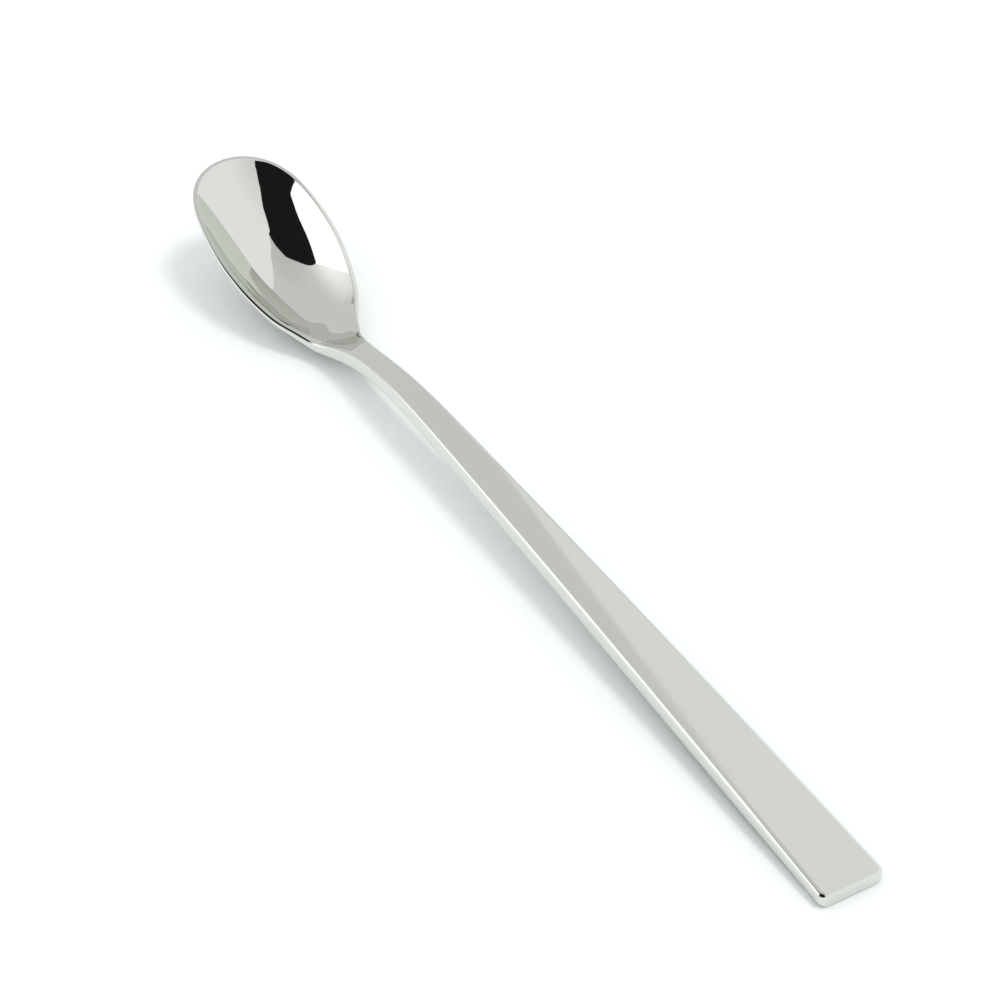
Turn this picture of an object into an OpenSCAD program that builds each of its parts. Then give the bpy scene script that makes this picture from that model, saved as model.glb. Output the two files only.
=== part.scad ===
// Iced tea spoon: a small deep bowl welded to a long flat handle that tapers
// towards the neck. It lies face up on a table, on the heel of its bowl and
// on the end of its handle. Millimetres, +X from the bowl to the handle's
// end, +Z up, origin below the middle of the spoon at table height.
//
// Positions along the spoon are stations: station 0 is the neck, where the
// bowl's rim line meets the handle, and the bowl lies at negative stations.

/* [Overall] */
// Length of the whole spoon
spoon_length = 200; // [170:1:240]
// Length of the bowl from its tip to the neck
bowl_length = 44.6; // [40:0.1:50]

/* [Bowl outline] */
// Width of the bowl where it is widest
bowl_width = 23.8; // [20:0.1:27]
// Distance of the widest place from the neck
widest_from_neck = 25.1; // [23:0.1:27]
// How square the tip is, 0 for half an ellipse
tip_fullness = 0.48; // [0.2:0.01:0.6]
// How fast the shoulders fall away behind the widest place
shoulder_fall = 1.26; // [1:0.01:1.4]
// Distance past the neck at which the shoulder curve would close
shoulder_reach = 4.2; // [3:0.1:6]

/* [Bowl shell] */
// Depth of the bowl below its rim at the widest place
bowl_depth = 7; // [6.4:0.1:7.8]
// How much steeper the hollow's walls are than those of a parabola
wall_fullness = 0.1; // [0:0.01:0.3]
// The same for the belly underneath, which is fuller
belly_fullness = 0.5; // [0.4:0.01:0.7]
// Thickness of the shell at the bottom of the bowl
shell_thickness = 1.6; // [1.2:0.1:2]
// Width of the flat land along the rim
rim_land = 0.8; // [0.6:0.05:1.2]
// Width that the land grows to towards the handle
neck_land = 1.6; // [1.2:0.05:2]
// Thickness of the rim at the tip and the sides
rim_thickness = 1; // [0.8:0.1:1.3]
// Rounding of the rim's edges
rim_edge_radius = 0.3; // [0.15:0.05:0.4]
// Height of the tip's rim above the rim at the neck
tip_rise = 15.06; // [10:0.02:18]
// How much the rim's slope eases off at the neck and the tip
rim_ease = 0.157; // [0:0.001:0.3]

/* [Bowl end on the neck] */
// Distance past the neck of the blunt end of the hollow
hollow_reach = 4.1; // [3:0.1:5]
// Radius of the hollow's blunt end
hollow_end_radius = 1.5; // [1:0.1:2]
// Distance of the weld behind the hollow's blunt end
weld_setback = 1.2; // [0.8:0.1:2]
// Length ahead of the neck over which the rim thickens into the bar
thickening_start = 12.5; // [9:0.5:14]
// Length behind the neck at which the bar has its full thickness
thickening_end = 12; // [9:0.5:14]
// Length ahead of the neck over which the belly fades out to the weld
belly_fade = 8.5; // [6:0.5:12]

/* [Handle outline] */
// Width that the handle's straight taper would have at the neck
neck_width = 4.12; // [3.6:0.02:5]
// Width of the handle at its end
end_width = 11.8; // [9:0.02:14]
// Extra half width at the neck where the handle flares into the bowl
flare = 2.08; // [1.7:0.01:2.4]
// Length of that flare along the handle
flare_length = 18; // [16:0.1:20]
// Radius of the two corners of the handle's end
end_corner_radius = 1.3; // [0.8:0.1:2.5]

/* [Handle profile] */
// Thickness of the bar at the neck
neck_thickness = 3.5; // [3:0.05:4]
// Thickness of the bar at its end
end_thickness = 2.5; // [2:0.05:3]
// How late along the handle it thins, 1 for an even taper
thinning_power = 4.7; // [2:0.1:6]
// Rise of the handle's line from its end to the neck
handle_rise = 7.9; // [5:0.1:10]
// Upward bow of that line
handle_bow = 0.51; // [0:0.01:0.8]
// Dip of the gooseneck below that line at the neck
gooseneck_drop = 5.75; // [5:0.05:6.5]
// Length of the gooseneck
gooseneck_length = 40; // [35:0.1:45]
// How sharply the gooseneck bends down, 2 for a parabola
gooseneck_power = 3.1; // [2.5:0.1:4]
// Rounding of the handle's long edges
bar_edge_radius = 0.8; // [0.4:0.05:0.9]
// Rounding of the top and bottom edges at the handle's end
end_edge_radius = 0.3; // [0.1:0.05:0.5]

/* [Hidden] */

// Steel colour of both pieces
steel = "#b9bab5";
// Width difference over which the bowl's outline blends into the neck's
outline_blend = 1.2;
// Height difference over which the rim line blends into the handle's line
profile_blend = 2.9;
// The same for the hollow's floor, which bridges the corner at the neck
floor_blend = 5;
// Share of the depth at which half of that bridging is reached
bridge_onset = 0.02;
// Distance from the widest place over which front and shoulder curves mix
widest_blend = 8;
// Share of the shoulder curve that is used before the neck takes over
shoulder_share = 0.75;

// Points from the tip along one side to the weld's corner
side_steps = 38;
// Points from the weld's corner to its middle
weld_steps = 5;
// Rings of the hollow and of the underside
ring_steps = 12;
// Steps of each rounded edge
edge_steps = 3;
// Stations along the handle and round its end corners
handle_steps = 84;
corner_steps = 8;
// Crowding of the handle's stations towards the weld
handle_crowding = 1.4;
// Samples for finding the heel of the bowl
heel_steps = 200;
// Turn of the outline's cosine spacing at the weld
side_turn = 112;
// Halvings that place a point of the hollow's outline on its ray
ray_halvings = 40;
// Place of the rings' pole, as a share of the way to the widest place
pole_share = 0.88;

handle_length = spoon_length - bowl_length;
weld_station = hollow_reach + weld_setback;
origin_station = spoon_length / 2 - bowl_length;
half_steps = side_steps + weld_steps;
outline_count = 2 * half_steps;
hollow_half_width = bowl_width / 2 - rim_land;
hollow_tip = rim_land - bowl_length;
// The rings of the bowl close on this station of the centre line
pole_station = -pole_share * widest_from_neck;

// ---- small rules -----------------------------------------------------

// Smooth step from 0 to 1 with no jump of curvature at either end
function ease(t) =
    let (c = min(1, max(0, t)))
    c * c * c * (c * (6 * c - 15) + 10);

function blend_weight(a, b, reach) = pow(max(0, 1 - abs(a - b) / reach), 3) * reach / 6;
function smooth_max(a, b, reach) = max(a, b) + blend_weight(a, b, reach);
function smooth_min(a, b, reach) = min(a, b) - blend_weight(a, b, reach);

// ---- outlines --------------------------------------------------------

// Square of the egg outline's half width at a station, as a share
function front_share(v) = 1 - v * v * (1 - tip_fullness * (1 - v * v));
function back_share(v) = 1 - v * v * (1 + shoulder_fall * (1 - v));

// 0 ahead of the widest place, 1 behind it
function behind_widest(s) = ease((s + widest_from_neck + widest_blend) / (2 * widest_blend));

function egg_share(s, front_length) =
    let (
        from_widest = s + widest_from_neck,
        front = front_share(min(1, -from_widest / front_length)),
        back = back_share(min(shoulder_share, from_widest / (widest_from_neck + shoulder_reach)))
    )
    front + (back - front) * behind_widest(s);

function egg_half_width(s) =
    bowl_width / 2 * sqrt(max(0, egg_share(s, bowl_length - widest_from_neck)));

function bar_half_width(s) =
    (neck_width + (end_width - neck_width) * s / handle_length) / 2
    + flare * pow(max(0, 1 - s / flare_length), 3);

function half_width(s) =
    s > 0 ? bar_half_width(s) : smooth_min(egg_half_width(s), bar_half_width(s), outline_blend);

// 0 at the bowl's rim, 1 in the bar
function thickening(s) = ease((s + thickening_start) / (thickening_start + thickening_end));
function land(s) = rim_land + (neck_land - rim_land) * thickening(s);

// Square of the hollow's half width: the rim's less the land, closed on the
// neck by a hyperbola with the blunt end's radius
function hollow_end_square(d) = 2 * hollow_end_radius * d + d * d;

function closed_square(side, end) = side * end / sqrt(side * side + end * end);

function hollow_square(s) =
    let (
        front = pow(hollow_half_width, 2) * max(0, egg_share(s, bowl_length - widest_from_neck - rim_land)),
        back = closed_square(pow(half_width(s) - land(s), 2), hollow_end_square(hollow_reach - s))
    )
    s < hollow_reach ? front + (back - front) * behind_widest(s) : 0;

// ---- side profile ----------------------------------------------------

function rim_climb(s) =
    let (q = min(1, -s / bowl_length))
    tip_rise * (q - rim_ease * sin(360 * q) / (2 * PI));

function handle_top(s) =
    end_thickness
    + handle_rise * (1 - s / handle_length) * (1 + handle_bow * s / handle_length)
    - gooseneck_drop * pow(max(0, 1 - s / gooseneck_length), gooseneck_power);

function bar_thickness(s) =
    neck_thickness
    - (neck_thickness - end_thickness) * pow(min(1, max(0, s / handle_length)), thinning_power);

// 1 under the bowl, 0 from the weld on
function belly_share(s) = 1 - ease((s + belly_fade) / (belly_fade + weld_station));

function edge_thickness(s) = rim_thickness + (bar_thickness(s) - rim_thickness) * thickening(s);
function edge_radius(s) = rim_edge_radius + (bar_edge_radius - rim_edge_radius) * thickening(s);

// Depth as a share, from the share u of the squared half width that is left
function cup(u, fullness) = u * (1 + fullness * (1 - u));

function hollow_share(s, y) = max(0, hollow_square(s) - y * y) / pow(hollow_half_width, 2);

function belly_depth(s, y) =
    (bowl_depth + shell_thickness - rim_thickness) * belly_share(s)
    * cup(max(0, pow(half_width(s), 2) - y * y) / pow(bowl_width / 2, 2), belly_fullness);

// The rim at the neck is as high as lets the bowl's heel touch the table
heel_drops = [
    for (i = [0:heel_steps])
        let (s = -bowl_length * i / heel_steps)
        edge_thickness(s) + belly_depth(s, 0) - rim_climb(s)
];
neck_height = max(heel_drops);

function rim_height(s) = neck_height + rim_climb(s);
function top_height(s) = smooth_max(rim_height(s), handle_top(s), profile_blend);

function floor_bridge(s) =
    smooth_max(rim_height(s), handle_top(s), floor_blend) - top_height(s);

// Surfaces of the bowl over a place on the plan
function hollow_height(s, u) =
    top_height(s) - bowl_depth * cup(u, wall_fullness) + floor_bridge(s) * u / (u + bridge_onset);

function hollow_point(p) = [p.x, p.y, hollow_height(p.x, hollow_share(p.x, p.y))];
function under_height(p) = top_height(p.x) - edge_thickness(p.x) - belly_depth(p.x, p.y);
function under_point(p) = [p.x, p.y, under_height(p)];

// ---- bowl mesh -------------------------------------------------------

// Plan points run from the tip along +Y to the weld and back along -Y
function side_of(i) = i <= half_steps ? 1 : -1;
function step_of(i) = i <= half_steps ? i : outline_count - i;

function side_station(k) =
    (weld_station + bowl_length) * (1 - cos(side_turn * k / side_steps)) / (1 - cos(side_turn)) - bowl_length;

// Outward direction of the outline; square to the bar at the weld
function side_normal(k) =
    let (
        before = side_station(max(0, k - 0.5)),
        after = side_station(min(side_steps, k + 0.5)),
        rise = half_width(after) - half_width(before),
        run = after - before,
        length = norm([rise, run])
    )
    k == 0 ? [-1, 0] : k == side_steps ? [0, 1] : [-rise / length, run / length];

function side_plan(k, inset) =
    let (
        s = side_station(k),
        n = side_normal(k)
    )
    k == 0 ? [s + inset, 0] : [s - inset * n.x, half_width(s) - inset * n.y];

function weld_plan(k, inset) =
    [weld_station, (half_width(weld_station) - inset) * (half_steps - k) / weld_steps];

function half_plan(k, inset) = k <= side_steps ? side_plan(k, inset) : weld_plan(k, inset);

function outline_plan(i, inset) =
    let (p = half_plan(step_of(i), inset))
    [p.x, side_of(i) * p.y];

// The hollow's outline is read off along rays from the pole, so that its
// points stand in line with those of the rim
function hollow_bearing(s) = atan2(sqrt(hollow_square(s)), s - pole_station);

function ray_station(bearing, low, high, steps) =
    let (middle = (low + high) / 2)
    steps == 0 ? middle
    : hollow_bearing(middle) > bearing ? ray_station(bearing, middle, high, steps - 1)
    : ray_station(bearing, low, middle, steps - 1);

function hollow_plan(i) =
    let (
        k = step_of(i),
        edge = half_plan(k, edge_radius(half_plan(k, 0).x)),
        bearing = atan2(edge.y, edge.x - pole_station),
        s = ray_station(bearing, hollow_tip, hollow_reach, ray_halvings),
        reach = norm([s - pole_station, sqrt(hollow_square(s))])
    )
    k == 0 ? [hollow_tip, 0]
    : k == half_steps ? [hollow_reach, 0]
    : [pole_station + reach * cos(bearing), side_of(i) * reach * sin(bearing)];

function outline_radius(i) = edge_radius(outline_plan(i, 0).x);

pole = [pole_station, 0];

hollow_rings = [
    for (ring = [1:ring_steps])
        [for (i = [0:outline_count - 1]) hollow_point(pole + (hollow_plan(i) - pole) * ring / ring_steps)]
];

upper_edge_rings = [
    for (step = [0:edge_steps])
        let (turn = 90 * step / edge_steps)
        [
            for (i = [0:outline_count - 1])
                let (
                    r = outline_radius(i),
                    p = outline_plan(i, r * (1 - sin(turn)))
                )
                [p.x, p.y, top_height(p.x) - r * (1 - cos(turn))]
        ]
];

lower_edge_rings = [
    for (step = [edge_steps:-1:0])
        let (turn = 90 * step / edge_steps)
        [
            for (i = [0:outline_count - 1])
                let (
                    r = outline_radius(i),
                    p = outline_plan(i, r * (1 - sin(turn)))
                )
                [p.x, p.y, under_height(p) + r * (1 - cos(turn))]
        ]
];

under_rings = [
    for (ring = [ring_steps - 1:-1:1])
        [
            for (i = [0:outline_count - 1])
                under_point(pole + (outline_plan(i, outline_radius(i)) - pole) * ring / ring_steps)
        ]
];

// A closed skin over rings of equal count, with a point at each end
module skin(first, rings, last) {
    count = len(rings[0]);
    ring_points = [for (ring = rings) each ring];
    points = concat([first], ring_points, [last]);
    last_index = len(points) - 1;
    last_ring = (len(rings) - 1) * count + 1;
    first_fan = [for (i = [0:count - 1]) [0, 1 + i, 1 + (i + 1) % count]];
    bands = [
        for (r = [0:len(rings) - 2])
            for (i = [0:count - 1])
                let (
                    a = 1 + r * count + i,
                    b = 1 + r * count + (i + 1) % count
                )
                each [[a, b + count, b], [a, a + count, b + count]]
    ];
    last_fan = [for (i = [0:count - 1]) [last_index, last_ring + (i + 1) % count, last_ring + i]];
    polyhedron(points = points, faces = concat(first_fan, bands, last_fan), convexity = 6);
}

module bowl() {
    color(steel)
        translate([-origin_station, 0, 0])
            skin(
                hollow_point(pole),
                concat(hollow_rings, upper_edge_rings, lower_edge_rings, under_rings),
                under_point(pole)
            );
}

// ---- handle mesh -----------------------------------------------------

// How far a rounding of radius r at the handle's end pulls the section in
function end_inset(s, r) =
    let (d = max(0, s - handle_length + r))
    r - sqrt(max(0, r * r - d * d));

handle_stations = concat(
    [
        for (i = [0:handle_steps])
            weld_station
            + (handle_length - end_corner_radius - weld_station) * pow(i / handle_steps, handle_crowding)
    ],
    [
        for (i = [1:corner_steps])
            handle_length - end_corner_radius * (1 - sin(90 * i / corner_steps))
    ]
);

// Section of the bar: a rectangle with rounded corners, read anticlockwise
function bar_section(s) =
    let (
        r = edge_radius(s),
        w = half_width(s) - end_inset(s, end_corner_radius),
        edge = end_inset(s, end_edge_radius),
        upper = top_height(s) - edge,
        lower = top_height(s) - edge_thickness(s) + edge
    )
    [
        for (corner = [0:3])
            let (
                y_side = corner == 0 || corner == 3 ? 1 : -1,
                z_mid = corner < 2 ? upper - r : lower + r
            )
            for (step = [0:edge_steps])
                let (turn = 90 * (corner + step / edge_steps))
                [s, y_side * (w - r) + r * cos(turn), z_mid + r * sin(turn)]
    ];

module handle() {
    sections = [for (s = handle_stations) bar_section(s)];
    count = len(sections[0]);
    points = [for (section = sections) each section];
    end_start = (len(sections) - 1) * count;
    weld_face = [for (i = [0:count - 1]) i];
    end_face = [for (i = [count - 1:-1:0]) end_start + i];
    sides = [
        for (k = [0:len(sections) - 2])
            for (i = [0:count - 1])
                let (
                    a = k * count + i,
                    b = k * count + (i + 1) % count
                )
                [a, a + count, b + count, b]
    ];
    color(steel)
        translate([-origin_station, 0, 0])
            polyhedron(points = points, faces = concat([weld_face, end_face], sides), convexity = 4);
}

bowl();
handle();
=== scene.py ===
import math

import bpy
import numpy as np
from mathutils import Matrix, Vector


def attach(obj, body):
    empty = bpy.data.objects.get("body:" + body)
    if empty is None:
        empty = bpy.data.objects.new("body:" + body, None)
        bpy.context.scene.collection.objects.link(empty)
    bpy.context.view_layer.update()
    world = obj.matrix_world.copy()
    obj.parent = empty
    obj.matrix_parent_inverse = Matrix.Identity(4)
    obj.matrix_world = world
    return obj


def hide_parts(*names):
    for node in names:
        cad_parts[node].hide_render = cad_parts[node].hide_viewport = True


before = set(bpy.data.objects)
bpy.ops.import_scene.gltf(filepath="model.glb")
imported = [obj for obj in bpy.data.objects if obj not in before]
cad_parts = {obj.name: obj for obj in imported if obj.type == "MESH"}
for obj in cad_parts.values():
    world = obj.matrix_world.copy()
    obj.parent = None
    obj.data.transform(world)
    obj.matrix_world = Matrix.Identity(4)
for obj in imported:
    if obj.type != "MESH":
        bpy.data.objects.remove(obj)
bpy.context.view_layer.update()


# ---------------------------------------------------------------------------
# Camera. A long lens looks down on the spoon from the side of its handle's
# end, so that the bowl is at the top left and the handle's end at the bottom
# right of the square picture.
camera_target = Vector((-0.00654, 0.00344, 0.0))
camera_distance = 0.547
camera_azimuth = math.radians(-31.46)
camera_elevation = math.radians(39.57)
camera_lens = 114.8
camera_sensor = 36.0


def direction_towards(azimuth, elevation):
    """Unit vector at an azimuth from +X and an elevation above the table."""
    flat = math.cos(elevation)
    return Vector((math.cos(azimuth) * flat, math.sin(azimuth) * flat, math.sin(elevation)))


camera_side = direction_towards(camera_azimuth, camera_elevation)
camera = bpy.data.objects.new("camera", bpy.data.cameras.new("camera"))
camera.data.lens = camera_lens
camera.data.sensor_fit = "HORIZONTAL"
camera.data.sensor_width = camera_sensor
camera.data.clip_start = 0.01
camera.data.clip_end = 50.0
camera.location = camera_target + camera_side * camera_distance
camera.rotation_euler = camera_side.to_track_quat("Z", "Y").to_euler()
bpy.context.scene.collection.objects.link(camera)
bpy.context.scene.camera = camera
bpy.context.scene.view_settings.view_transform = "Standard"


# ---------------------------------------------------------------------------
# Table. A wide sheet of matt white card on which the spoon lies. It catches
# the spoon's soft shadow and is what the sides of the handle mirror.
table_half_width = 4.0
table_white = (0.8, 0.8, 0.8, 1.0)


def stage_mesh(name, points, faces, material):
    """A stage piece from its points and faces, in one material."""
    mesh = bpy.data.meshes.new(name)
    mesh.from_pydata(points, [], faces)
    mesh.materials.append(material)
    piece = bpy.data.objects.new(name, mesh)
    bpy.context.scene.collection.objects.link(piece)
    return piece


def new_material(name):
    """A material with an empty node tree and its output node."""
    material = bpy.data.materials.new(name)
    material.use_nodes = True
    tree = material.node_tree
    tree.nodes.clear()
    return material, tree, tree.nodes.new("ShaderNodeOutputMaterial")


table_card, table_tree, table_output = new_material("table_card")
table_shader = table_tree.nodes.new("ShaderNodeBsdfDiffuse")
table_shader.inputs["Color"].default_value = table_white
table_tree.links.new(table_shader.outputs["BSDF"], table_output.inputs["Surface"])

table_corners = [
    (x * table_half_width, y * table_half_width, 0.0)
    for x, y in ((-1, -1), (1, -1), (1, 1), (-1, 1))
]
stage_mesh("table", table_corners, [(0, 1, 2, 3)], table_card)


# ---------------------------------------------------------------------------
# Studio. A white room with one soft lamp. The polished steel also mirrors
# large cards of plain light that the camera looks past, which stand on stage
# round the spoon.
bowl_middle = Vector((-0.075, 0.0, 0.01))
card_columns = 24


def hide_from_camera(card):
    """Leaves a card to be seen in the steel only."""
    card.visible_camera = False
    card.visible_diffuse = False
    card.visible_shadow = False
    return card


def studio_card(name, edges, distance, material, nearness=1.0):
    """A curved card, from rows of an elevation and the azimuths of its two
    edges in degrees. A nearness under 1 draws it in towards the bowl, which
    sees it unchanged."""
    points = []
    for elevation, start, end in edges:
        for column in range(card_columns + 1):
            azimuth = math.radians(start + (end - start) * column / card_columns)
            place = direction_towards(azimuth, math.radians(elevation)) * distance
            points.append(bowl_middle + (place - bowl_middle) * nearness)
    row = card_columns + 1
    faces = [
        (low * row + left, low * row + left + 1, (low + 1) * row + left + 1, (low + 1) * row + left)
        for low in range(len(edges) - 1)
        for left in range(card_columns)
    ]
    return hide_from_camera(stage_mesh(name, points, faces, material))


def feed(socket, value):
    """Links a socket to another one of its tree, or sets its value."""
    if isinstance(value, bpy.types.NodeSocket):
        socket.id_data.links.new(value, socket)
    else:
        socket.default_value = value


def maths(operation, *values, clamp=False):
    """A maths node in the tree of its values, as its output."""
    tree = next(value.id_data for value in values if isinstance(value, bpy.types.NodeSocket))
    node = tree.nodes.new("ShaderNodeMath")
    node.operation = operation
    node.use_clamp = clamp
    for socket, value in zip(node.inputs, values):
        feed(socket, value)
    return node.outputs[0]


# Light of a card: a level, raised or lowered towards one direction
card_light = bpy.data.node_groups.new("card_light", "ShaderNodeTree")
card_light.interface.new_socket(name="Level", in_out="INPUT", socket_type="NodeSocketFloat")
card_light.interface.new_socket(name="Towards", in_out="INPUT", socket_type="NodeSocketVector")
card_light.interface.new_socket(name="Start", in_out="INPUT", socket_type="NodeSocketFloat")
card_light.interface.new_socket(name="Sharpness", in_out="INPUT", socket_type="NodeSocketFloat")
card_light.interface.new_socket(name="Gain", in_out="INPUT", socket_type="NodeSocketFloat")
card_light.interface.new_socket(name="Light", in_out="OUTPUT", socket_type="NodeSocketFloat")
light_in = card_light.nodes.new("NodeGroupInput")
light_out = card_light.nodes.new("NodeGroupOutput")
light_place = card_light.nodes.new("ShaderNodeTexCoord")
light_unit = card_light.nodes.new("ShaderNodeVectorMath")
light_unit.operation = "NORMALIZE"
light_closeness = card_light.nodes.new("ShaderNodeVectorMath")
light_closeness.operation = "DOT_PRODUCT"
light_spread = card_light.nodes.new("ShaderNodeMapRange")
feed(light_unit.inputs[0], light_place.outputs["Object"])
feed(light_closeness.inputs[0], light_unit.outputs["Vector"])
feed(light_closeness.inputs[1], light_in.outputs["Towards"])
feed(light_spread.inputs["Value"], light_closeness.outputs["Value"])
feed(light_spread.inputs["From Min"], light_in.outputs["Start"])
light_curve = maths("POWER", light_spread.outputs["Result"], light_in.outputs["Sharpness"])
light_level = maths("MULTIPLY_ADD", light_curve, light_in.outputs["Gain"], light_in.outputs["Level"])
feed(light_out.inputs["Light"], light_level)


def glow_material(name, level, fades=(), one_sided=False):
    """Plain light of one level. Each fade is a direction, where it starts, its
    sharpness and its gain. The back of a one-sided card isn't there."""
    material, tree, output = new_material(name)
    glow = tree.nodes.new("ShaderNodeEmission")
    glow.inputs["Color"].default_value = (level, level, level, 1.0)
    light = level
    for towards, start, sharpness, gain in fades:
        fade = tree.nodes.new("ShaderNodeGroup")
        fade.node_tree = card_light
        fade.inputs["Towards"].default_value = towards
        fade.inputs["Start"].default_value = start
        fade.inputs["Sharpness"].default_value = sharpness
        fade.inputs["Gain"].default_value = gain
        feed(fade.inputs["Level"], light)
        light = fade.outputs["Light"]
    if fades:
        feed(glow.inputs["Color"], light)
    face = glow.outputs["Emission"]
    if one_sided:
        side = tree.nodes.new("ShaderNodeNewGeometry")
        gap = tree.nodes.new("ShaderNodeBsdfTransparent")
        mix = tree.nodes.new("ShaderNodeMixShader")
        feed(mix.inputs["Fac"], side.outputs["Backfacing"])
        feed(mix.inputs[1], face)
        feed(mix.inputs[2], gap.outputs["BSDF"])
        face = mix.outputs["Shader"]
    feed(output.inputs["Surface"], face)
    return material


# Grey wall behind the bowl: brighter towards the lamp panel, dimmer overhead
grey_wall_distance = 1.56
grey_wall_light = 0.735
grey_wall_edges = [
    (2, 128, 262), (30, 126, 262), (40, 124, 262), (50, 121, 262), (60, 117, 262), (70, 114, 262),
    (78, 118, 262), (83, 126, 262), (90, 126, 262),
]
lamp_panel_middle = direction_towards(math.radians(-120), math.radians(25))
overhead = Vector((0.0, 0.0, 1.0))
grey_wall_fades = [(lamp_panel_middle, 0.72, 3.5, 0.75), (overhead, 0.85, 1.0, -0.09)]
grey_card = glow_material("grey_card", grey_wall_light, grey_wall_fades)
studio_card("grey_wall", grey_wall_edges, grey_wall_distance, grey_card)

# Lamp panel, close by on the near side
lamp_panel_distance = 1.53
lamp_panel_nearness = 0.27
lamp_panel_light = 1.6
lamp_panel_edges = [
    (12, -142, -108), (15, -141, -104), (20, -139, -102.5), (24, -137.5, -102), (28, -136, -100),
    (33, -134, -98), (38, -132, -97.3), (40.5, -131.5, -104), (42.3, -131, -110), (43.7, -130.5, -115),
    (44.6, -130.2, -122), (44.9, -130, -128.5),
]
lamp_card = glow_material("lamp_card", lamp_panel_light)
studio_card("lamp_panel", lamp_panel_edges, lamp_panel_distance, lamp_card, lamp_panel_nearness)

# Dark side of the room, from the lamp panel to the camera's side and overhead
dark_side_distance = 1.53
dark_side_light = 0.012
dark_side_edges = [
    (15, -103, -31), (24, -102, -31), (28, -100, -31), (33, -98, -31), (38, -97.3, -31),
    (40.5, -104, -31), (42.3, -110, -31), (43.7, -115, -31.5), (44.6, -122, -32.5),
    (44.9, -128.5, -33), (48, -130, -34.3), (53, -131, -36.5), (57.5, -131, -39.5),
    (62, -130.5, -41), (67.5, -130.5, -42), (72.5, -133, -43.5), (77.5, -140, -51),
    (80, -149, -57), (82.5, -157, -62), (85, -180, -72), (87.5, -195, -85), (90, -195, -85),
]
dark_card = glow_material("dark_card", dark_side_light)
studio_card("dark_side", dark_side_edges, dark_side_distance, dark_card)

# Dim strip along the dark side's foot
dim_strip_distance = 1.5
dim_strip_light = 0.5
dim_strip_edges = [(2, -108, -40), (15, -104, -40)]
dim_card = glow_material("dim_card", dim_strip_light)
studio_card("dim_strip", dim_strip_edges, dim_strip_distance, dim_card)

# Pale wall beyond the handle's end: it dims a little towards the dark side
pale_wall_distance = 1.59
pale_wall_light = 1.0
pale_wall_edges = [(5, -46, 40), (30, -46, 40), (60, -52, 40), (80, -60, 40), (85, -80, 40), (90, -90, 40)]
dark_side_foot = direction_towards(math.radians(-45), math.radians(30))
pale_wall_fades = [(dark_side_foot, 0.2, 3.0, -0.22)]
pale_card = glow_material("pale_card", pale_wall_light, pale_wall_fades)
studio_card("pale_wall", pale_wall_edges, pale_wall_distance, pale_card)

# White card, whose left edge crosses the top of the handle in its reflection.
# Only its face towards the handle is there; the bowl looks past its edge.
white_card_light = 0.9
white_card_foot = Vector((-0.0997, 0.048, 0.08))
white_card_slope = Vector((-0.2716, 0.5347, 1.0))
white_card_height = 0.75
white_card_side = Vector((0.175, 0.888, -0.427))
white_card_foot_width = 0.03
white_card_top_width = 0.25
white_card_top = white_card_foot + white_card_slope * white_card_height
white_card_corners = [
    white_card_foot,
    white_card_foot + white_card_side * white_card_foot_width,
    white_card_top + white_card_side * white_card_top_width,
    white_card_top,
]
small_card = glow_material("small_card", white_card_light, one_sided=True)
hide_from_camera(stage_mesh("white_card", white_card_corners, [(0, 1, 2, 3)], small_card))

# The room: white to the camera and in the steel, plain light on the table
room_light = 1.12
room_tint = (0.93, 1.0, 1.0, 1.0)
white = (1.0, 1.0, 1.0, 1.0)
world = bpy.data.worlds.new("white_room")
world.use_nodes = True
bpy.context.scene.world = world
world_tree = world.node_tree
world_tree.nodes.clear()
world_output = world_tree.nodes.new("ShaderNodeOutputWorld")
world_rays = world_tree.nodes.new("ShaderNodeLightPath")
plain_light = world_tree.nodes.new("ShaderNodeBackground")
plain_light.inputs["Color"].default_value = room_tint
plain_light.inputs["Strength"].default_value = room_light
white_light = world_tree.nodes.new("ShaderNodeBackground")
white_light.inputs["Color"].default_value = white
white_light.inputs["Strength"].default_value = 1.0
world_mix = world_tree.nodes.new("ShaderNodeMixShader")
seen_or_mirrored = maths("MAXIMUM", world_rays.outputs["Is Camera Ray"], world_rays.outputs["Is Glossy Ray"])
seen_at_all = maths("MAXIMUM", seen_or_mirrored, world_rays.outputs["Is Transmission Ray"])
feed(world_mix.inputs["Fac"], seen_at_all)
feed(world_mix.inputs[1], plain_light.outputs["Background"])
feed(world_mix.inputs[2], white_light.outputs["Background"])
feed(world_output.inputs["Surface"], world_mix.outputs["Shader"])

# Key lamp: soft, high up on the far side of the handle
key_azimuth = math.radians(57)
key_elevation = math.radians(69)
key_strength = 0.95
key_softness = math.radians(17)
key_colour = (1.0, 0.93, 0.93)
key_lamp = bpy.data.objects.new("key_lamp", bpy.data.lights.new("key_lamp", "SUN"))
key_lamp.data.energy = key_strength
key_lamp.data.color = key_colour
key_lamp.data.angle = key_softness
key_lamp.rotation_euler = direction_towards(key_azimuth, key_elevation).to_track_quat("Z", "Y").to_euler()
key_lamp.visible_glossy = False
bpy.context.scene.collection.objects.link(key_lamp)


# ---------------------------------------------------------------------------
# Handle. A flat forged bar of stainless steel: a gooseneck rises from the
# weld, the bar widens and thins towards its square end, and all its edges
# are rounded by grinding and polishing.
mm = 0.001
spoon_length = 200.0 * mm
bowl_length = 44.6 * mm
handle_length = spoon_length - bowl_length
weld_station = 5.3 * mm
origin_station = spoon_length / 2 - bowl_length
flare_power = 3

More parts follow.
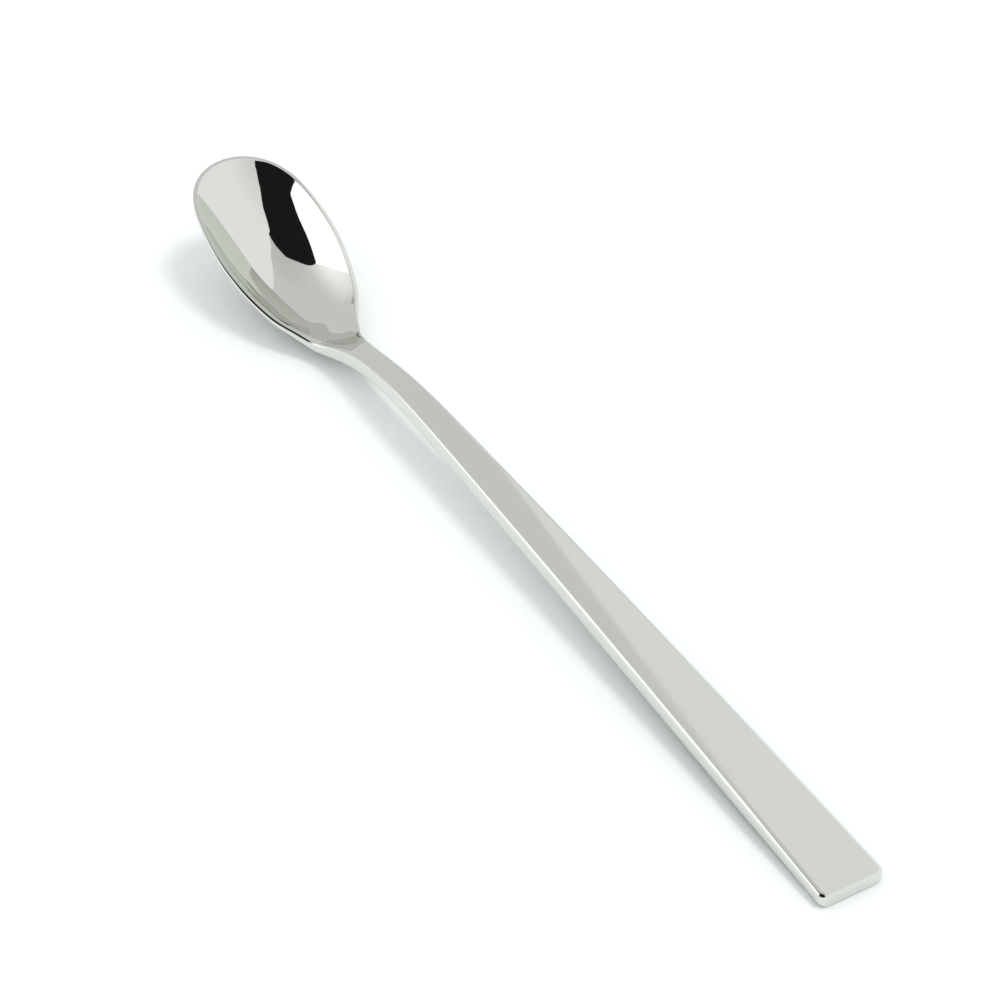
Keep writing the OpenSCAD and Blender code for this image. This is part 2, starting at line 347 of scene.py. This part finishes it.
handle_sizes = {
    "Length": handle_length,
    "Weld Station": weld_station,
    "Origin Station": origin_station,
    "Neck Width": 4.12 * mm,
    "End Width": 11.8 * mm,
    "Flare": 2.08 * mm,
    "Flare Length": 18.0 * mm,
    "Neck Thickness": 3.5 * mm,
    "End Thickness": 2.5 * mm,
    "Thinning Power": 4.7,
    "Rise": 7.9 * mm,
    "Bow": 0.51,
    "Gooseneck Drop": 5.75 * mm,
    "Gooseneck Length": 40.0 * mm,
    "Gooseneck Power": 3.1,
    "Rim Thickness": 1.0 * mm,
    "Rim Edge Radius": 0.3 * mm,
    "Bar Edge Radius": 0.8 * mm,
    "Thickening Start": 12.5 * mm,
    "Thickening End": 12.0 * mm,
    "End Corner Radius": 1.3 * mm,
    "End Edge Radius": 0.3 * mm,
    "Edge Support": 0.05 * mm,
}
# Rows of the bar's mesh: each end's face, the bar and its rounded end corners
face_rows = 3
bar_rows = 300
corner_rows = 14
bar_row_crowding = 1.4
edge_arc_steps = 10
merge_gap = 0.0003 * mm
# A row is on the bar where its section is all but fully open, and a face is
# on the weld where it looks straight back
open_section = 0.99
weld_facing = -0.98

bar_tree = bpy.data.node_groups.new("forged_bar", "GeometryNodeTree")
bar_tree.interface.new_socket(name="Geometry", in_out="OUTPUT", socket_type="NodeSocketGeometry")
size_sockets = {
    name: bar_tree.interface.new_socket(name=name, in_out="INPUT", socket_type="NodeSocketFloat")
    for name in handle_sizes
}
steel_socket = bar_tree.interface.new_socket(name="Steel", in_out="INPUT", socket_type="NodeSocketMaterial")
bar_input = bar_tree.nodes.new("NodeGroupInput")
bar_output = bar_tree.nodes.new("NodeGroupOutput")
size = {name: bar_input.outputs[name] for name in handle_sizes}


def add(a, b):
    return maths("ADD", a, b)


def minus(a, b):
    return maths("SUBTRACT", a, b)


def times(a, b):
    return maths("MULTIPLY", a, b)


def over(a, b):
    return maths("DIVIDE", a, b)


def share(a, b):
    """How far a is on the way to b, kept between 0 and 1."""
    return maths("DIVIDE", a, b, clamp=True)


def power(a, b):
    return maths("POWER", a, b)


# Row number along the bar and point number round its section
corner_points = edge_arc_steps + 3
section_points = 4 * corner_points + 1
all_rows = 2 * face_rows + bar_rows + corner_rows
grid = bar_tree.nodes.new("GeometryNodeMeshGrid")
grid.inputs["Size X"].default_value = all_rows
grid.inputs["Size Y"].default_value = section_points - 1
grid.inputs["Vertices X"].default_value = all_rows + 1
grid.inputs["Vertices Y"].default_value = section_points
grid_place = bar_tree.nodes.new("GeometryNodeInputPosition")
grid_axes = bar_tree.nodes.new("ShaderNodeSeparateXYZ")
feed(grid_axes.inputs["Vector"], grid_place.outputs["Position"])
row = maths("ROUND", add(grid_axes.outputs["X"], all_rows / 2))
point = maths("ROUND", minus((section_points - 1) / 2, grid_axes.outputs["Y"]))

# Station of each row, and how far the rows of the two end faces close in
bar_share = share(minus(row, face_rows), bar_rows)
corner_turn = times(share(minus(row, face_rows + bar_rows), corner_rows), math.pi / 2)
weld_face = share(row, face_rows)
end_face = share(minus(row, face_rows + bar_rows + corner_rows), face_rows)
open_share = times(weld_face, minus(1.0, end_face))
bar_run = minus(minus(size["Length"], size["End Corner Radius"]), size["Weld Station"])
station = add(
    add(size["Weld Station"], times(bar_run, power(bar_share, bar_row_crowding))),
    times(size["End Corner Radius"], maths("SINE", corner_turn)),
)
along = over(station, size["Length"])

# Half width: straight taper, flare at the neck, rounded end corners
taper = add(size["Neck Width"], times(minus(size["End Width"], size["Neck Width"]), along))
flare_share = maths("MAXIMUM", minus(1.0, over(station, size["Flare Length"])), 0.0)
flare = times(size["Flare"], power(flare_share, flare_power))
corner_inset = times(size["End Corner Radius"], minus(1.0, maths("COSINE", corner_turn)))
half_width = minus(add(over(taper, 2.0), flare), corner_inset)

# Top line: the bowed rise from the end to the neck, less the gooseneck's dip
bowed = add(1.0, times(size["Bow"], along))
rise = times(times(size["Rise"], minus(1.0, along)), bowed)
dip_share = maths("MAXIMUM", minus(1.0, over(station, size["Gooseneck Length"])), 0.0)
dip = times(size["Gooseneck Drop"], power(dip_share, size["Gooseneck Power"]))
top = minus(add(size["End Thickness"], rise), dip)

# Thickness and edge radius grow from the rim's to the bar's at the weld
thinning = times(minus(size["Neck Thickness"], size["End Thickness"]), power(along, size["Thinning Power"]))
full_thickness = minus(size["Neck Thickness"], thinning)
thickening_run = add(size["Thickening Start"], size["Thickening End"])
thick_share = share(add(station, size["Thickening Start"]), thickening_run)
# Smooth step with no jump of curvature: t^3 (t (6 t - 15) + 10)
thick_curve = add(times(thick_share, minus(times(thick_share, 6.0), 15.0)), 10.0)
thickening = times(power(thick_share, 3.0), thick_curve)
thickness = add(size["Rim Thickness"], times(minus(full_thickness, size["Rim Thickness"]), thickening))
radius_growth = minus(size["Bar Edge Radius"], size["Rim Edge Radius"])
edge_radius = add(size["Rim Edge Radius"], times(radius_growth, thickening))

# Rounded upper and lower edges of the end face
end_depth = maths("MAXIMUM", add(minus(station, size["Length"]), size["End Edge Radius"]), 0.0)
end_square = minus(power(size["End Edge Radius"], 2.0), power(end_depth, 2.0))
end_inset = minus(size["End Edge Radius"], maths("SQRT", maths("MAXIMUM", end_square, 0.0)))

# Section: four rounded corners, each with a supporting point on both sides
corner = maths("FLOOR", over(add(point, 0.5), corner_points))
corner_point = minus(point, times(corner, corner_points))
arc_share = share(minus(corner_point, 1.0), edge_arc_steps)
turn = times(add(corner, arc_share), math.pi / 2)
middle_turn = times(add(corner, 0.5), math.pi / 2)
side_sign = maths("SIGN", maths("COSINE", middle_turn))
height_sign = maths("SIGN", maths("SINE", middle_turn))
after_arc = maths("GREATER_THAN", corner_point, corner_points - 1.5)
before_arc = maths("LESS_THAN", corner_point, 0.5)
slide = times(size["Edge Support"], minus(after_arc, before_arc))
half_height = minus(over(thickness, 2.0), end_inset)
turn_cosine = maths("COSINE", turn)
turn_sine = maths("SINE", turn)
section_side = add(
    times(side_sign, minus(half_width, edge_radius)),
    minus(times(edge_radius, turn_cosine), times(slide, turn_sine)),
)
section_height = add(
    times(height_sign, minus(half_height, edge_radius)),
    add(times(edge_radius, turn_sine), times(slide, turn_cosine)),
)
middle_height = minus(top, over(thickness, 2.0))

place = bar_tree.nodes.new("ShaderNodeCombineXYZ")
feed(place.inputs["X"], minus(station, size["Origin Station"]))
feed(place.inputs["Y"], times(section_side, open_share))
feed(place.inputs["Z"], add(middle_height, times(section_height, open_share)))

# Wear is kept as a mask: 1 in the middle of each rounded edge
arc_wear = times(times(arc_share, minus(1.0, arc_share)), 4.0)
end_share = share(end_inset, size["End Edge Radius"])
end_wear = times(times(end_share, minus(1.0, end_share)), 4.0)
wear = maths("MAXIMUM", times(arc_wear, maths("GREATER_THAN", open_share, open_section)), end_wear)

keep_wear = bar_tree.nodes.new("GeometryNodeStoreNamedAttribute")
keep_wear.data_type = "FLOAT"
keep_wear.domain = "POINT"
keep_wear.inputs["Name"].default_value = "edge_wear"
shape = bar_tree.nodes.new("GeometryNodeSetPosition")
merge = bar_tree.nodes.new("GeometryNodeMergeByDistance")
merge.inputs["Distance"].default_value = merge_gap
smooth = bar_tree.nodes.new("GeometryNodeSetShadeSmooth")
flat_weld = bar_tree.nodes.new("GeometryNodeSetShadeSmooth")
flat_weld.inputs["Shade Smooth"].default_value = False
realize = bar_tree.nodes.new("GeometryNodeRealizeInstances")
dress = bar_tree.nodes.new("GeometryNodeSetMaterial")
face_normal = bar_tree.nodes.new("GeometryNodeInputNormal")
face_axes = bar_tree.nodes.new("ShaderNodeSeparateXYZ")
feed(face_axes.inputs["Vector"], face_normal.outputs["Normal"])
feed(flat_weld.inputs["Selection"], maths("LESS_THAN", face_axes.outputs["X"], weld_facing))
feed(keep_wear.inputs["Value"], wear)
feed(shape.inputs["Position"], place.outputs["Vector"])
feed(dress.inputs["Material"], bar_input.outputs["Steel"])
feed(keep_wear.inputs["Geometry"], grid.outputs["Mesh"])
chain = [keep_wear, shape, merge, smooth, flat_weld, realize, dress, bar_output]
for before, after in zip(chain, chain[1:]):
    feed(after.inputs["Geometry"], before.outputs["Geometry"])

# Polish: the marks that a felt wheel leaves on steel, shared by both pieces.
# Lines run along the group's X, with a few stray scratches and soft smudges.
line_stretch = (0.03, 1.0, 1.0)
scratch_stretch = (0.12, 1.0, 1.0)
no_stretch = (1.0, 1.0, 1.0)
lines_per_metre = 9000.0
scratches_per_metre = 700.0
scratched_places_per_metre = 260.0
smudges_per_metre = 60.0
nicks_per_metre = 1800.0
scratch_thinness = 240.0
scratch_rareness = 0.6
scratch_depth = 0.12
nick_depth = 0.4
smudge_roughness = 0.03
nick_roughness = 0.06
scratch_roughness = 0.05
scratch_shade = 0.1
polish = bpy.data.node_groups.new("wheel_polish", "ShaderNodeTree")
polish.interface.new_socket(name="Place", in_out="INPUT", socket_type="NodeSocketVector")
polish.interface.new_socket(name="Wear", in_out="INPUT", socket_type="NodeSocketFloat")
polish.interface.new_socket(name="Line Strength", in_out="INPUT", socket_type="NodeSocketFloat")
polish.interface.new_socket(name="Base Roughness", in_out="INPUT", socket_type="NodeSocketFloat")
polish.interface.new_socket(name="Roughness", in_out="OUTPUT", socket_type="NodeSocketFloat")
polish.interface.new_socket(name="Height", in_out="OUTPUT", socket_type="NodeSocketFloat")
polish.interface.new_socket(name="Shade", in_out="OUTPUT", socket_type="NodeSocketFloat")
polish_in = polish.nodes.new("NodeGroupInput")
polish_out = polish.nodes.new("NodeGroupOutput")


def polish_noise(stretch, scale, detail):
    """Noise on the piece, stretched along the polishing direction."""
    mapping = polish.nodes.new("ShaderNodeMapping")
    mapping.inputs["Scale"].default_value = stretch
    noise = polish.nodes.new("ShaderNodeTexNoise")
    noise.inputs["Scale"].default_value = scale
    noise.inputs["Detail"].default_value = detail
    feed(mapping.inputs["Vector"], polish_in.outputs["Place"])
    feed(noise.inputs["Vector"], mapping.outputs["Vector"])
    return noise.outputs["Fac"]


wheel_lines = polish_noise(line_stretch, lines_per_metre, 3.0)
scratch_field = polish_noise(scratch_stretch, scratches_per_metre, 1.0)
scratch_gap = maths("ABSOLUTE", minus(scratch_field, 0.5))
scratch_lines = maths("SUBTRACT", 1.0, times(scratch_gap, scratch_thinness), clamp=True)
scratched_places = polish_noise(no_stretch, scratched_places_per_metre, 1.0)
scratches = times(scratch_lines, maths("GREATER_THAN", scratched_places, scratch_rareness))
smudges = polish_noise(no_stretch, smudges_per_metre, 2.0)
nicks = times(polish_noise(no_stretch, nicks_per_metre, 2.0), polish_in.outputs["Wear"])

line_height = times(wheel_lines, polish_in.outputs["Line Strength"])
scratched_height = minus(line_height, times(scratches, scratch_depth))
height = minus(scratched_height, times(nicks, nick_depth))
rough = add(polish_in.outputs["Base Roughness"], times(minus(smudges, 0.5), smudge_roughness))
rough = add(rough, times(nicks, nick_roughness))
rough = maths("ADD", rough, times(scratches, scratch_roughness), clamp=True)
feed(polish_out.inputs["Roughness"], rough)
feed(polish_out.inputs["Height"], height)
feed(polish_out.inputs["Shade"], minus(1.0, times(scratches, scratch_shade)))

steel_colour = (0.716, 0.735, 0.690)
shaded_colour = tuple(channel * 0.9 for channel in steel_colour)
steel_roughness = 0.03
line_strength = 0.2
mark_strength = 0.12
mark_height = 0.004 * mm


def polished_steel(name, line_turn):
    """Stainless steel with the wheel's lines turned from +X."""
    material, tree, output = new_material(name)
    nodes = tree.nodes
    position = nodes.new("ShaderNodeTexCoord")
    mapping = nodes.new("ShaderNodeMapping")
    mapping.inputs["Rotation"].default_value = (0.0, 0.0, line_turn)
    worn = nodes.new("ShaderNodeAttribute")
    worn.attribute_name = "edge_wear"
    marks = nodes.new("ShaderNodeGroup")
    marks.node_tree = polish
    marks.inputs["Line Strength"].default_value = line_strength
    marks.inputs["Base Roughness"].default_value = steel_roughness
    tint = nodes.new("ShaderNodeMix")
    tint.data_type = "RGBA"
    tint.inputs["A"].default_value = (*shaded_colour, 1.0)
    tint.inputs["B"].default_value = (*steel_colour, 1.0)
    bump = nodes.new("ShaderNodeBump")
    bump.inputs["Strength"].default_value = mark_strength
    bump.inputs["Distance"].default_value = mark_height
    steel = nodes.new("ShaderNodeBsdfPrincipled")
    steel.inputs["Metallic"].default_value = 1.0
    feed(mapping.inputs["Vector"], position.outputs["Object"])
    feed(marks.inputs["Place"], mapping.outputs["Vector"])
    feed(marks.inputs["Wear"], worn.outputs["Fac"])
    feed(tint.inputs["Factor"], marks.outputs["Shade"])
    feed(steel.inputs["Base Color"], tint.outputs["Result"])
    feed(steel.inputs["Roughness"], marks.outputs["Roughness"])
    feed(bump.inputs["Height"], marks.outputs["Height"])
    feed(steel.inputs["Normal"], bump.outputs["Normal"])
    feed(output.inputs["Surface"], steel.outputs["BSDF"])
    return material


handle_steel = polished_steel("handle_steel", 0.0)

bar_maker = bpy.data.objects.new("bar_maker", bpy.data.meshes.new("bar_maker"))
bpy.context.scene.collection.objects.link(bar_maker)
forging = bar_maker.modifiers.new("forging", "NODES")
forging.node_group = bar_tree
for name, value in handle_sizes.items():
    forging[size_sockets[name].identifier] = value
forging[steel_socket.identifier] = handle_steel
depsgraph = bpy.context.evaluated_depsgraph_get()
handle_mesh = bpy.data.meshes.new_from_object(bar_maker.evaluated_get(depsgraph))
handle_mesh.name = "handle_bar"
bar_maker.modifiers.clear()
bpy.data.objects.remove(bar_maker)
handle_bar = bpy.data.objects.new("handle_bar", handle_mesh)
bpy.context.scene.collection.objects.link(handle_bar)
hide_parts("handle")
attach(handle_bar, "root")


# ---------------------------------------------------------------------------
# Bowl. Pressed from the same steel and welded to the bar, with the weld ground
# flush: an oval hollow with a narrow polished rim and a blunt end on the neck,
# and a belly underneath that is fuller than the hollow.
bowl_width = 23.8 * mm
widest_from_neck = 25.1 * mm
tip_fullness = 0.48
shoulder_fall = 1.26
shoulder_reach = 4.2 * mm
shoulder_share = 0.75
widest_blend = 8.0 * mm
outline_blend = 1.2 * mm
bowl_depth = 7.0 * mm
wall_fullness = 0.1
belly_fullness = 0.5
shell_thickness = 1.6 * mm
rim_land = 0.8 * mm
neck_land = 1.6 * mm
tip_rise = 15.06 * mm
rim_ease = 0.157
hollow_reach = 4.1 * mm
hollow_end_radius = 1.5 * mm
belly_fade = 8.5 * mm
profile_blend = 2.9 * mm
floor_blend = 5.0 * mm
bridge_onset = 0.02
hollow_half_width = bowl_width / 2 - rim_land
hollow_tip = rim_land - bowl_length


def ease(t):
    """Smooth step from 0 to 1 with no jump of curvature."""
    t = np.clip(t, 0.0, 1.0)
    return t ** 3 * (t * (6.0 * t - 15.0) + 10.0)


def blend_weight(a, b, reach):
    """What a soft blend adds where two lines come within its reach."""
    return np.maximum(0.0, 1.0 - np.abs(a - b) / reach) ** 3 * reach / 6.0


def bar_half_width(s):
    """Half the bar's width at a station behind the neck."""
    neck = handle_sizes["Neck Width"]
    straight = neck + (handle_sizes["End Width"] - neck) * s / handle_length
    flare_left = np.maximum(0.0, 1.0 - s / handle_sizes["Flare Length"])
    return straight / 2 + handle_sizes["Flare"] * flare_left ** flare_power


def behind_widest(s):
    """0 ahead of the bowl's widest place and 1 behind it, with a soft change."""
    return ease((s + widest_from_neck + widest_blend) / (2 * widest_blend))


def egg_share(s, front_length):
    """Square of the egg outline's half width, as a share."""
    from_widest = s + widest_from_neck
    ahead = np.minimum(1.0, -from_widest / front_length)
    behind = np.minimum(shoulder_share, from_widest / (widest_from_neck + shoulder_reach))
    front = 1.0 - ahead ** 2 * (1.0 - tip_fullness * (1.0 - ahead ** 2))
    back = 1.0 - behind ** 2 * (1.0 + shoulder_fall * (1.0 - behind))
    return front + (back - front) * behind_widest(s)


def half_width_at(s):
    """Half width of the bowl, which runs into the bar's at the neck."""
    egg = bowl_width / 2 * np.sqrt(np.maximum(0.0, egg_share(s, bowl_length - widest_from_neck)))
    bar = bar_half_width(s)
    return np.where(s > 0.0, bar, np.minimum(egg, bar) - blend_weight(egg, bar, outline_blend))


def thickening_at(s):
    """0 at the rim's thickness and 1 at the bar's."""
    start = handle_sizes["Thickening Start"]
    return ease((s + start) / (start + handle_sizes["Thickening End"]))


def hollow_square(s):
    """Square of the hollow's half width at a station."""
    front_length = bowl_length - widest_from_neck - rim_land
    front = hollow_half_width ** 2 * np.maximum(0.0, egg_share(s, front_length))
    land = rim_land + (neck_land - rim_land) * thickening_at(s)
    side = (half_width_at(s) - land) ** 2
    from_end = np.maximum(0.0, hollow_reach - s)
    end = 2 * hollow_end_radius * from_end + from_end ** 2
    back = side * end / np.sqrt(side ** 2 + end ** 2)
    return np.where(s < hollow_reach, front + (back - front) * behind_widest(s), 0.0)


def rim_climb(s):
    """Height of the rim's line above the neck."""
    q = np.minimum(1.0, -s / bowl_length)
    return tip_rise * (q - rim_ease * np.sin(2 * np.pi * q) / (2 * np.pi))


def handle_top(s):
    """Height of the bar's top line."""
    along_bar = s / handle_length
    line = handle_sizes["Rise"] * (1.0 - along_bar) * (1.0 + handle_sizes["Bow"] * along_bar)
    dip_left = np.maximum(0.0, 1.0 - s / handle_sizes["Gooseneck Length"])
    gooseneck = handle_sizes["Gooseneck Drop"] * dip_left ** handle_sizes["Gooseneck Power"]
    return handle_sizes["End Thickness"] + line - gooseneck


def edge_thickness(s):
    """Thickness at the outer edge, from the rim's to the bar's."""
    along_bar = np.clip(s / handle_length, 0.0, 1.0)
    neck = handle_sizes["Neck Thickness"]
    rim = handle_sizes["Rim Thickness"]
    bar = neck - (neck - handle_sizes["End Thickness"]) * along_bar ** handle_sizes["Thinning Power"]
    return rim + (bar - rim) * thickening_at(s)


def edge_radius_at(s):
    """Radius of the outer edges, from the rim's to the bar's."""
    rim = handle_sizes["Rim Edge Radius"]
    return rim + (handle_sizes["Bar Edge Radius"] - rim) * thickening_at(s)


def cup(u, fullness):
    """Section of a cup: a parabola, made steeper at its walls."""
    return u * (1.0 + fullness * (1.0 - u))


def belly_depth(s, y):
    """How far the belly hangs below the rim's underside."""
    full = bowl_depth + shell_thickness - handle_sizes["Rim Thickness"]
    fade = 1.0 - ease((s + belly_fade) / (belly_fade + weld_station))
    inside = np.maximum(0.0, half_width_at(s) ** 2 - y ** 2) / (bowl_width / 2) ** 2
    return full * fade * cup(inside, belly_fullness)


# The rim at the neck is as high as lets the heel touch the table
heel_stations = -bowl_length * np.linspace(0.0, 1.0, 201)
heel_drops = edge_thickness(heel_stations) + belly_depth(heel_stations, 0.0) - rim_climb(heel_stations)
neck_height = np.max(heel_drops)


def line_blend(s, reach):
    """The rim's line and the bar's, blended where they meet."""
    rim = neck_height + rim_climb(s)
    bar = handle_top(s)
    return np.maximum(rim, bar) + blend_weight(rim, bar, reach)


def top_height(s):
    """Height of the spoon's upper edge."""
    return line_blend(s, profile_blend)


def hollow_height(s, y):
    """Height of the hollow's floor and walls."""
    u = np.maximum(0.0, hollow_square(s) - y ** 2) / hollow_half_width ** 2
    bridge = line_blend(s, floor_blend) - top_height(s)
    return top_height(s) - bowl_depth * cup(u, wall_fullness) + bridge * u / (u + bridge_onset)


def under_height(s, y):
    """Height of the underside."""
    return top_height(s) - edge_thickness(s) - belly_depth(s, y)


# Outline of one half, from the tip to the weld's corner and along the weld.
# Its stations crowd at the tip, and the last step before the weld's corner is
# a short one, as the edge turns there.
side_steps = 170
last_step = 0.04
weld_steps = 14
side_turn = math.radians(112)
side_places = np.append(np.arange(side_steps), (side_steps - last_step, side_steps))
pole_station = -22.088 * mm


def side_station(place):
    """Station at a place that is counted in steps from the tip."""
    swing = (1.0 - np.cos(side_turn * place / side_steps)) / (1.0 - math.cos(side_turn))
    return (weld_station + bowl_length) * swing - bowl_length


def half_outline(inset_at):
    """Plan points of one half, moved in by a share of the edge radius."""
    s = side_station(side_places)
    before = side_station(np.maximum(0.0, side_places - 0.5))
    after = side_station(np.minimum(side_steps, side_places + 0.5))
    slope = half_width_at(after) - half_width_at(before)
    run = after - before
    span = np.hypot(slope, run)
    normal = np.stack([-slope / span, run / span], axis=1)
    normal[0] = (-1.0, 0.0)
    normal[-1] = (0.0, 1.0)
    width = half_width_at(s)
    width[0] = 0.0
    inset = edge_radius_at(s) * inset_at
    side = np.stack([s, width], axis=1) - normal * inset[:, None]
    left = np.arange(weld_steps - 1, -1, -1) / weld_steps
    weld = np.stack([np.full(weld_steps, weld_station), side[-1, 1] * left], axis=1)
    return np.concatenate([side, weld])


def both_halves(half):
    """A closed outline from one half, the other half mirrored."""
    mirrored = half[-2:0:-1].copy()
    mirrored[:, 1] *= -1.0
    return np.concatenate([half, mirrored])


def hollow_outline(edge):
    """The hollow's outline, on rays from the pole through the rim's points,
    each found by halving."""
    bearing = np.arctan2(edge[:, 1], edge[:, 0] - pole_station)
    low = np.full(len(edge), hollow_tip)
    high = np.full(len(edge), hollow_reach)
    for _ in range(50):
        middle = (low + high) / 2
        wide = np.arctan2(np.sqrt(hollow_square(middle)), middle - pole_station) > bearing
        low = np.where(wide, middle, low)
        high = np.where(wide, high, middle)
    distance = np.hypot(middle - pole_station, np.sqrt(hollow_square(middle)))
    outline = np.stack([pole_station + distance * np.cos(bearing), distance * np.sin(bearing)], axis=1)
    outline[0] = (hollow_tip, 0.0)
    outline[-1] = (hollow_reach, 0.0)
    return outline


land_edge = half_outline(1.0)
rim_plan = both_halves(land_edge)
hollow_plan = both_halves(hollow_outline(land_edge))
land_width = np.hypot(*(rim_plan - hollow_plan).T)
half_stations = np.append(side_station(side_places), np.full(weld_steps, weld_station))
half_radius = edge_radius_at(half_stations)
ring_radius = np.concatenate([half_radius, half_radius[-2:0:-1]])
pole = np.array([pole_station, 0.0])

# Polishing crowns the rim round the bowl and leaves it flat on the neck
crown_power = 2.5
crown_fade = 12.0 * mm


def rim_drop(land_part, turned):
    """How far polishing lowers the rim, at a part of the land's width and at
    a turn of its rounded edge."""
    outward = (land_width * land_part + ring_radius * math.sin(turned)) / (land_width + ring_radius)
    crown = 1.0 - (1.0 - np.minimum(1.0, outward) ** crown_power) ** (1.0 / crown_power)
    square = 1.0 - math.cos(turned)
    on_neck = ease((rim_plan[:, 0] + crown_fade) / crown_fade)
    return ring_radius * (crown + (square - crown) * on_neck)


# Rings of points, from the hollow's pole over the rim to the belly's pole. The
# last ring of the hollow and the first of the land stand close to the crease
# between them, so that it mirrors as a narrow polished edge.
hollow_rings = 66
crease_share = 0.994
land_shares = (0.07, 0.3, 0.6, 0.85, 0.96)
belly_edge_shares = (0.996, 0.985)
belly_rings = 44
rings = []
ring_wear = []


def add_ring(plan, height, worn=0.0):
    """One ring of points, and how much its edge is worn."""
    rings.append(np.column_stack([plan, height]))
    ring_wear.append(worn)


for reach_share in [*(np.arange(1, hollow_rings) / hollow_rings), crease_share]:
    plan = pole + (hollow_plan - pole) * reach_share
    add_ring(plan, hollow_height(*plan.T))
add_ring(hollow_plan, top_height(hollow_plan[:, 0]), 1.0)
for land_part in land_shares:
    plan = hollow_plan + (rim_plan - hollow_plan) * land_part
    add_ring(plan, top_height(plan[:, 0]) - rim_drop(land_part, 0.0))
edge_turns = [math.pi / 2 * step / edge_arc_steps for step in range(edge_arc_steps + 1)]
for turned in edge_turns:
    plan = both_halves(half_outline(1.0 - math.sin(turned)))
    add_ring(plan, top_height(plan[:, 0]) - rim_drop(1.0, turned), math.sin(2 * turned))
for turned in reversed(edge_turns):
    plan = both_halves(half_outline(1.0 - math.sin(turned)))
    lifted = ring_radius * (1.0 - math.cos(turned))
    add_ring(plan, under_height(*plan.T) + lifted, math.sin(2 * turned))
for reach_share in [*belly_edge_shares, *(np.arange(belly_rings - 1, 0, -1) / belly_rings)]:
    plan = pole + (rim_plan - pole) * reach_share
    add_ring(plan, under_height(*plan.T))

around = len(rim_plan)
hollow_pole = [pole_station, 0.0, float(hollow_height(pole_station, 0.0))]
belly_pole = [pole_station, 0.0, float(under_height(pole_station, 0.0))]
bowl_points = np.concatenate([[hollow_pole], *rings, [belly_pole]])
bowl_points[:, 0] -= origin_station
last_point = len(bowl_points) - 1
last_ring = 1 + (len(rings) - 1) * around
bowl_faces = [(0, 1 + (i + 1) % around, 1 + i) for i in range(around)]
for ring in range(len(rings) - 1):
    start = 1 + ring * around
    for i in range(around):
        j = (i + 1) % around
        bowl_faces.append((start + i, start + j, start + around + j, start + around + i))
bowl_faces += [(last_point, last_ring + i, last_ring + (i + 1) % around) for i in range(around)]

# All faces are smooth but those of the weld
weld_x = weld_station - origin_station
weld_tolerance = 0.0001 * mm
bowl_mesh = bpy.data.meshes.new("bowl_shell")
bowl_mesh.from_pydata(bowl_points.tolist(), [], bowl_faces)
for face in bowl_mesh.polygons:
    face.use_smooth = any(abs(bowl_points[v][0] - weld_x) > weld_tolerance for v in face.vertices)
wear_mask = bowl_mesh.attributes.new("edge_wear", "FLOAT", "POINT")
wear_values = np.concatenate([[0.0], np.repeat(ring_wear, around), [0.0]])
wear_mask.data.foreach_set("value", wear_values.astype(np.float32))

bowl_steel = polished_steel("bowl_steel", math.radians(35))
bowl_mesh.materials.append(bowl_steel)
bowl_shell = bpy.data.objects.new("bowl_shell", bowl_mesh)
bpy.context.scene.collection.objects.link(bowl_shell)
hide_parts("bowl")
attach(bowl_shell, "root")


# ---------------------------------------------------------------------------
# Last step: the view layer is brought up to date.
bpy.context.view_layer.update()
